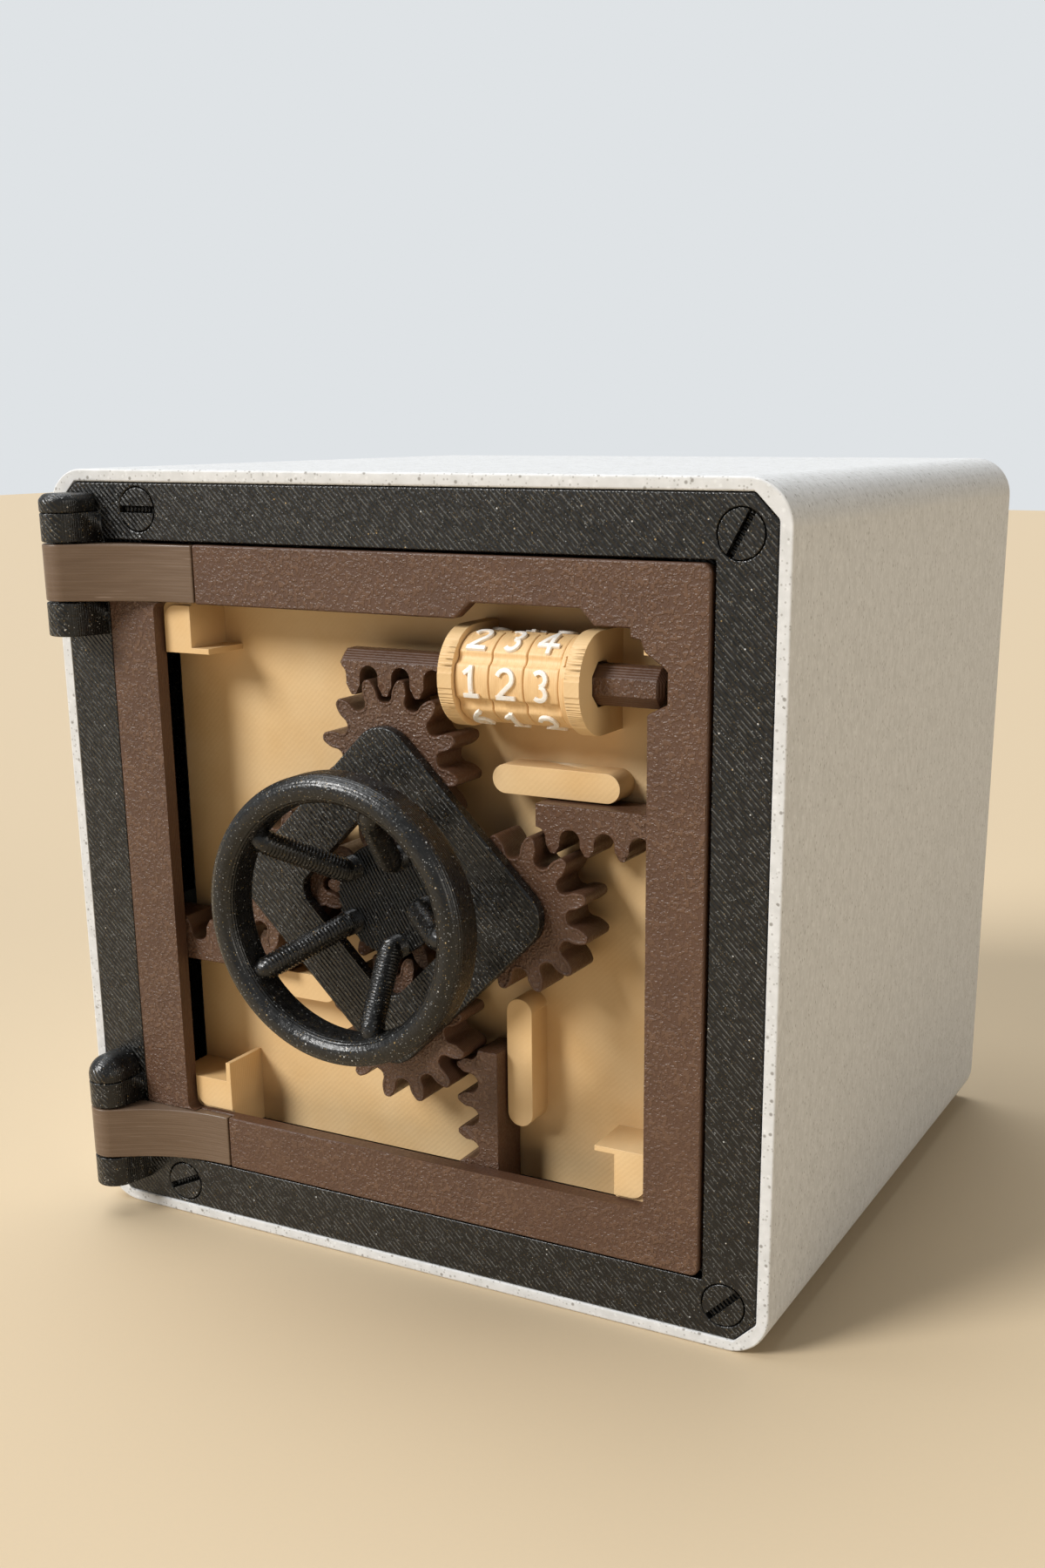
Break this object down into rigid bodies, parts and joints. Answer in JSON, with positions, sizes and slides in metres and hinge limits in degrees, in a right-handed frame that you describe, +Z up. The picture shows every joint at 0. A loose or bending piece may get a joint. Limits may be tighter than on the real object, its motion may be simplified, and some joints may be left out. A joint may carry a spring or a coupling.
{
  "type": "combination lock box",
  "caption": "Square safe box with a hinged window door, a handwheel that drives a gear train and sliding bolts, and numbered combination dials.",
  "frame": {"origin": "centre of the case's underside, halfway between its front and back planes", "axes": "+X to the right as seen from the front, +Y from the door towards the back, +Z up; the door faces -Y"},
  "size_m": [0.155, 0.1625, 0.155],
  "materials": {
    "marble_plastic": "matte white with fine grey specks, printed layers",
    "black_plastic": "black with fine sparkle, printed layers",
    "brown_plastic": "chocolate brown, fine grain, satin",
    "tan_plastic": "pale tan, satin, printed layers",
    "white_plastic": "white paint on raised digits"
  },
  "bodies": {
    "case": {"case_shell": "marble_plastic", "front_frame": "black_plastic", "frame_screws": "black_plastic", "upper_hinge_pin": "black_plastic", "lower_hinge_pin": "black_plastic"},
    "door": {"door_ring": "brown_plastic", "door_back_plate": "tan_plastic", "gear_bridge": "black_plastic", "upper_hinge_strap": "brown_plastic", "lower_hinge_strap": "brown_plastic", "dial_spacer": "tan_plastic"},
    "wheel": {"handwheel": "black_plastic", "drive_gear": "brown_plastic"},
    "gear_top": {"top_gear": "brown_plastic"},
    "gear_right": {"right_gear": "brown_plastic"},
    "gear_bottom": {"bottom_gear": "brown_plastic"},
    "gear_left": {"left_gear": "brown_plastic"},
    "bolt_top": {"top_bolt": "brown_plastic"},
    "bolt_right": {"right_bolt": "brown_plastic"},
    "bolt_bottom": {"bottom_bolt": "brown_plastic"},
    "bolt_left": {"left_bolt": "brown_plastic"},
    "dial_left": {"dial_1": "tan_plastic", "dial_1_digits": "white_plastic"},
    "dial_middle": {"dial_2": "tan_plastic", "dial_2_digits": "white_plastic"},
    "dial_right": {"dial_3": "tan_plastic", "dial_3_digits": "white_plastic"}
  },
  "joints": [
    {"name": "door_hinge", "type": "hinge", "parent": "case", "child": "door", "pos_m": [-0.0698, -0.07545, 0.0775], "axis": [0, 0, -1], "range_deg": [0, 110]},
    {"name": "wheel_turn", "type": "hinge", "parent": "door", "child": "wheel", "pos_m": [0, -0.0705, 0.0775], "axis": [0, -1, 0], "range_deg": [-36, 18]},
    {"name": "top_gear_turn", "type": "hinge", "parent": "door", "child": "gear_top", "pos_m": [0, -0.0705, 0.10385], "axis": [0, -1, 0], "range_deg": [-18, 36]},
    {"name": "right_gear_turn", "type": "hinge", "parent": "door", "child": "gear_right", "pos_m": [0.02635, -0.0705, 0.0775], "axis": [0, -1, 0], "range_deg": [-18, 36]},
    {"name": "bottom_gear_turn", "type": "hinge", "parent": "door", "child": "gear_bottom", "pos_m": [0, -0.0705, 0.05115], "axis": [0, -1, 0], "range_deg": [-18, 36]},
    {"name": "left_gear_turn", "type": "hinge", "parent": "door", "child": "gear_left", "pos_m": [-0.02635, -0.0705, 0.0775], "axis": [0, -1, 0], "range_deg": [-18, 36]},
    {"name": "top_bolt_slide", "type": "slide", "parent": "door", "child": "bolt_top", "axis": [1, 0, 0], "range_m": [-0.0083, 0.00415]},
    {"name": "right_bolt_slide", "type": "slide", "parent": "door", "child": "bolt_right", "axis": [1, 0, 0], "range_m": [-0.0083, 0.00415]},
    {"name": "bottom_bolt_slide", "type": "slide", "parent": "door", "child": "bolt_bottom", "axis": [0, 0, -1], "range_m": [-0.0083, 0.00415]},
    {"name": "left_bolt_slide", "type": "slide", "parent": "door", "child": "bolt_left", "axis": [-1, 0, 0], "range_m": [-0.0083, 0.00415]},
    {"name": "left_dial_turn", "type": "hinge", "parent": "door", "child": "dial_left", "pos_m": [0.02035, -0.0663, 0.11993], "axis": [1, 0, 0], "continuous": true},
    {"name": "middle_dial_turn", "type": "hinge", "parent": "door", "child": "dial_middle", "pos_m": [0.0272, -0.0663, 0.11993], "axis": [1, 0, 0], "continuous": true},
    {"name": "right_dial_turn", "type": "hinge", "parent": "door", "child": "dial_right", "pos_m": [0.03405, -0.0663, 0.11993], "axis": [1, 0, 0], "continuous": true}
  ],
  "couplings": [
    {"joint": "top_gear_turn", "follows": "wheel_turn", "ratio": -1},
    {"joint": "right_gear_turn", "follows": "wheel_turn", "ratio": -1},
    {"joint": "bottom_gear_turn", "follows": "wheel_turn", "ratio": -1},
    {"joint": "left_gear_turn", "follows": "wheel_turn", "ratio": -1},
    {"joint": "top_bolt_slide", "follows": "wheel_turn", "m_per_rad": 0.013175},
    {"joint": "right_bolt_slide", "follows": "wheel_turn", "m_per_rad": 0.013175},
    {"joint": "bottom_bolt_slide", "follows": "wheel_turn", "m_per_rad": 0.013175},
    {"joint": "left_bolt_slide", "follows": "wheel_turn", "m_per_rad": 0.013175}
  ]
}
